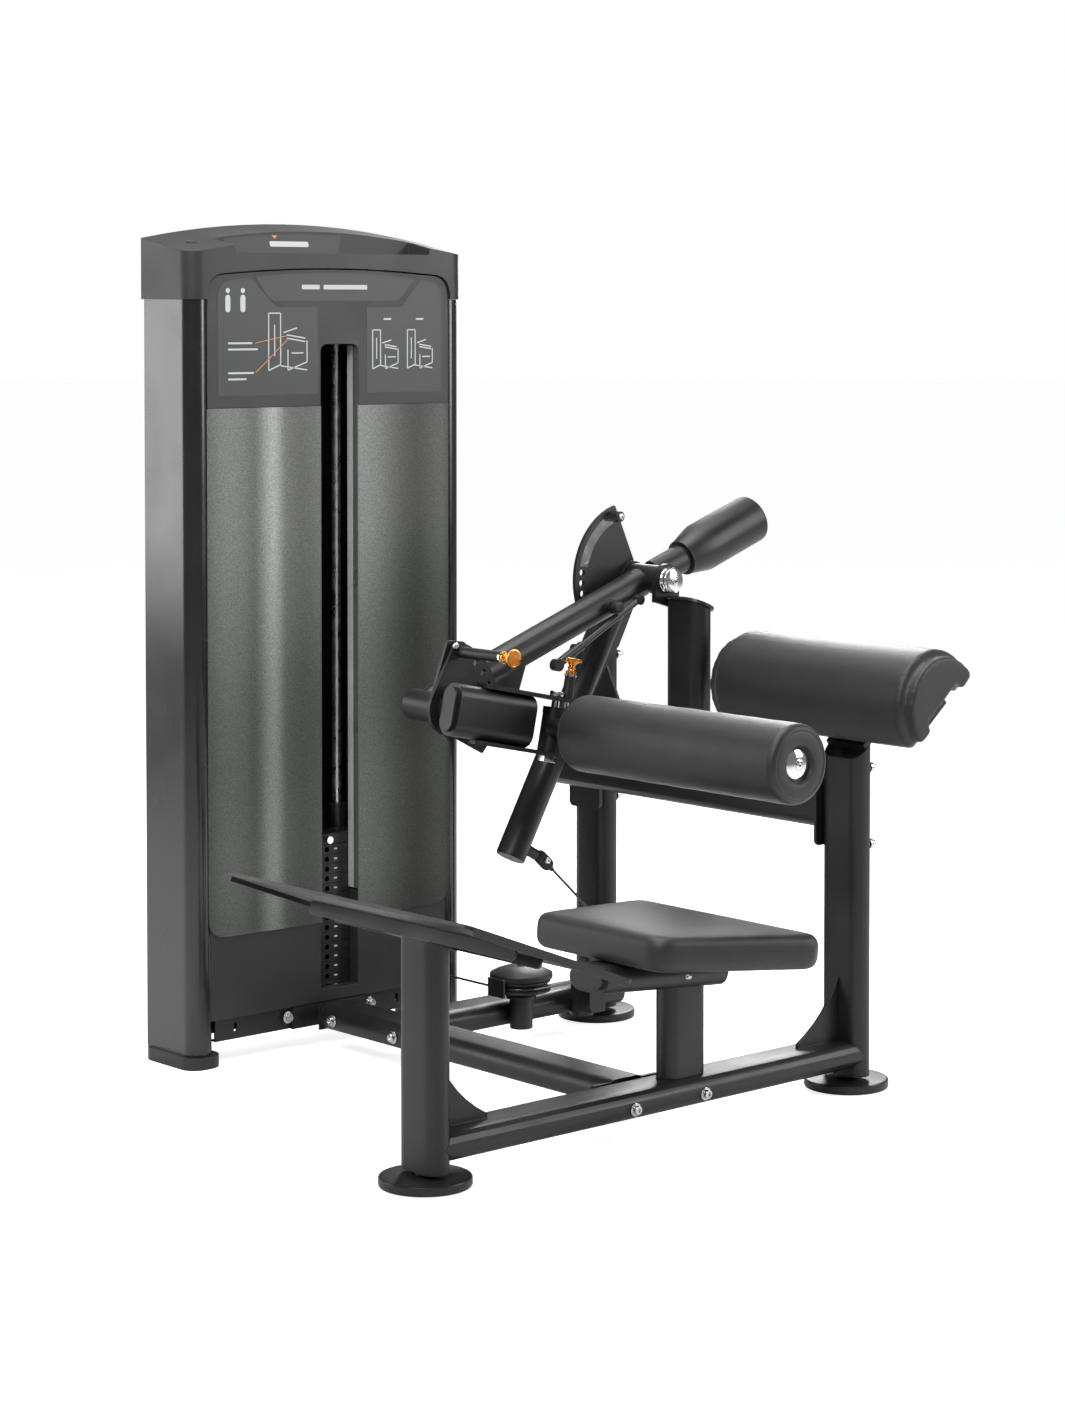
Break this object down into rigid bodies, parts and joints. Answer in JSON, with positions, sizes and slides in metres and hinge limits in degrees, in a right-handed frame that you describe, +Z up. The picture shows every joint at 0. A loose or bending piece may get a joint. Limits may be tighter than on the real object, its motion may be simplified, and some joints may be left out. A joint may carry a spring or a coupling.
{
  "type": "hip thrust machine",
  "caption": "Selectorised gym machine for hip thrusts: weight tower, floor frame with seat and back pad, foot plate and a counterbalanced roller arm.",
  "frame": {"origin": "centre of the footprint, on the floor", "axes": "+X from the foot plate towards the back pad, +Y towards the weight tower, +Z up"},
  "size_m": [1.5082, 1.4, 1.643],
  "materials": {
    "powder_coat": "fine-textured matt black powder coat",
    "dark_steel": "satin black enamel",
    "chrome": "bright chrome",
    "orange_anodised": "orange anodised aluminium",
    "vinyl": "grained black vinyl",
    "moulded_plastic": "textured dark grey moulding",
    "smoked_panel": "frosted smoky panel",
    "pulley_plastic": "black nylon",
    "cable_jacket": "black nylon jacket over steel rope",
    "black_rubber": "black rubber sleeve"
  },
  "bodies": {
    "frame": {"back_pad": "vinyl", "back_pad_post": "powder_coat", "base_pulley_cover": "powder_coat", "drive_cable": "cable_jacket", "far_levelling_foot": "dark_steel", "far_post": "powder_coat", "fixed_cable": "cable_jacket", "foot_end_levelling_foot": "dark_steel", "foot_end_post": "powder_coat", "foot_plate": "powder_coat", "instruction_board": "moulded_plastic", "left_column": "powder_coat", "left_column_foot": "dark_steel", "left_guide_rod": "chrome", "left_window": "smoked_panel", "lower_cover": "moulded_plastic", "main_rail": "powder_coat", "pad_end_levelling_foot": "dark_steel", "pivot_beam": "powder_coat", "pivot_post": "powder_coat", "pivot_shaft": "chrome", "rear_cover": "powder_coat", "rear_rail": "powder_coat", "resting_plates": "dark_steel", "right_column": "powder_coat", "right_column_foot": "dark_steel", "right_guide_rod": "chrome", "right_window": "smoked_panel", "seat_cushion": "vinyl", "seat_post": "powder_coat", "spine_tube": "powder_coat", "stack_base": "dark_steel", "tower_cap": "moulded_plastic", "tower_cross_member": "powder_coat", "tower_top_member": "dark_steel"},
    "drive_lever_body": {"drive_arm": "powder_coat", "quadrant": "powder_coat"},
    "roller_arm_body": {"roller_arm": "powder_coat", "counterweight": "powder_coat", "arm_strut": "dark_steel"},
    "range_pin_body": {"range_pin": "dark_steel"},
    "carriage_body": {"carriage": "powder_coat", "carriage_shaft": "chrome", "hinge_bolt": "chrome"},
    "start_pin_body": {"start_pin": "orange_anodised"},
    "swing_pin_body": {"swing_pin": "orange_anodised"},
    "roller_bracket_body": {"roller_bracket": "powder_coat", "roller_end_cap": "chrome"},
    "roller_pad_body": {"roller_pad": "vinyl"},
    "cable_clevis_body": {"cable_clevis": "black_rubber"},
    "stack_body": {"top_plate": "dark_steel", "lift_cable": "cable_jacket"},
    "selector_pin_body": {"selector_pin": "chrome"},
    "seat_pulley_body": {"seat_pulley": "pulley_plastic"},
    "base_pulley_body": {"base_pulley": "pulley_plastic"},
    "tower_pulley_body": {"tower_pulley": "pulley_plastic"},
    "top_pulley_right_body": {"top_pulley_right": "pulley_plastic"},
    "top_pulley_centre_body": {"top_pulley_centre": "pulley_plastic"}
  },
  "joints": [
    {"name": "drive_lever", "type": "hinge", "parent": "frame", "child": "drive_lever_body", "pos_m": [0.44046, 0.22, 0.932], "axis": [0, 1, 0], "range_deg": [0, 45]},
    {"name": "stack_lift", "type": "slide", "parent": "frame", "child": "stack_body", "axis": [0, 0, 1], "range_m": [0, 0.455], "deforming": ["lift_cable"]},
    {"name": "clevis_turn", "type": "hinge", "parent": "drive_lever_body", "child": "cable_clevis_body", "pos_m": [0.21657, 0.22, 0.38508], "axis": [0, 1, 0], "range_deg": [-46, 1]},
    {"name": "range_setting", "type": "hinge", "parent": "drive_lever_body", "child": "roller_arm_body", "pos_m": [0.44046, 0.155, 0.932], "axis": [0, 1, 0], "range_deg": [0, 27]},
    {"name": "range_pin_pull", "type": "slide", "parent": "roller_arm_body", "child": "range_pin_body", "axis": [0, -1, 0], "range_m": [0, 0.012], "stiffness_N_per_m": 600, "springref_m": -0.01},
    {"name": "start_position", "type": "hinge", "parent": "roller_arm_body", "child": "carriage_body", "pos_m": [-0.13276, 0.044, 0.72337], "axis": [0, 1, 0], "range_deg": [0, 56]},
    {"name": "start_pin_pull", "type": "slide", "parent": "carriage_body", "child": "start_pin_body", "axis": [0, -1, 0], "range_m": [0, 0.012], "stiffness_N_per_m": 600, "springref_m": -0.01},
    {"name": "roller_swing", "type": "hinge", "parent": "carriage_body", "child": "roller_bracket_body", "pos_m": [0.0932, 0.05, 0.67534], "axis": [-0.2079, 0, -0.9781], "range_deg": [0, 35]},
    {"name": "swing_pin_pull", "type": "slide", "parent": "carriage_body", "child": "swing_pin_body", "axis": [0.2079, 0, 0.9781], "range_m": [0, 0.012], "stiffness_N_per_m": 600, "springref_m": -0.01},
    {"name": "roller_spin", "type": "hinge", "parent": "roller_bracket_body", "child": "roller_pad_body", "pos_m": [0.09237, 0.044, 0.67143], "axis": [0, 1, 0], "continuous": true},
    {"name": "selector_pin_pull", "type": "slide", "parent": "stack_body", "child": "selector_pin_body", "axis": [0, -1, 0], "range_m": [0, 0.045]},
    {"name": "seat_pulley_turn", "type": "hinge", "parent": "frame", "child": "seat_pulley_body", "pos_m": [0.38246, 0.22, 0.1715], "axis": [0, 1, 0], "range_deg": [0, 558]},
    {"name": "base_pulley_turn", "type": "hinge", "parent": "frame", "child": "base_pulley_body", "pos_m": [0.21346, 0.2765, 0.125], "axis": [0, 0, 1], "range_deg": [0, 459]},
    {"name": "tower_pulley_turn", "type": "hinge", "parent": "frame", "child": "tower_pulley_body", "pos_m": [0.15696, 0.5855, 0.1715], "axis": [1, 0, 0], "range_deg": [-558, 0]},
    {"name": "top_pulley_right_turn", "type": "hinge", "parent": "frame", "child": "top_pulley_right_body", "pos_m": [0.11046, 0.632, 1.545], "axis": [0, 1, 0], "range_deg": [0, 558]},
    {"name": "top_pulley_centre_turn", "type": "hinge", "parent": "frame", "child": "top_pulley_centre_body", "pos_m": [0.01096, 0.632, 1.545], "axis": [0, 1, 0], "range_deg": [0, 558]}
  ],
  "couplings": [
    {"joint": "stack_lift", "follows": "drive_lever", "m_per_rad": 0.575},
    {"joint": "clevis_turn", "follows": "drive_lever", "ratio": -1},
    {"joint": "seat_pulley_turn", "follows": "drive_lever", "ratio": 12.366},
    {"joint": "base_pulley_turn", "follows": "drive_lever", "ratio": 10.177},
    {"joint": "tower_pulley_turn", "follows": "drive_lever", "ratio": -12.366},
    {"joint": "top_pulley_right_turn", "follows": "drive_lever", "ratio": 12.366},
    {"joint": "top_pulley_centre_turn", "follows": "drive_lever", "ratio": 12.366}
  ]
}
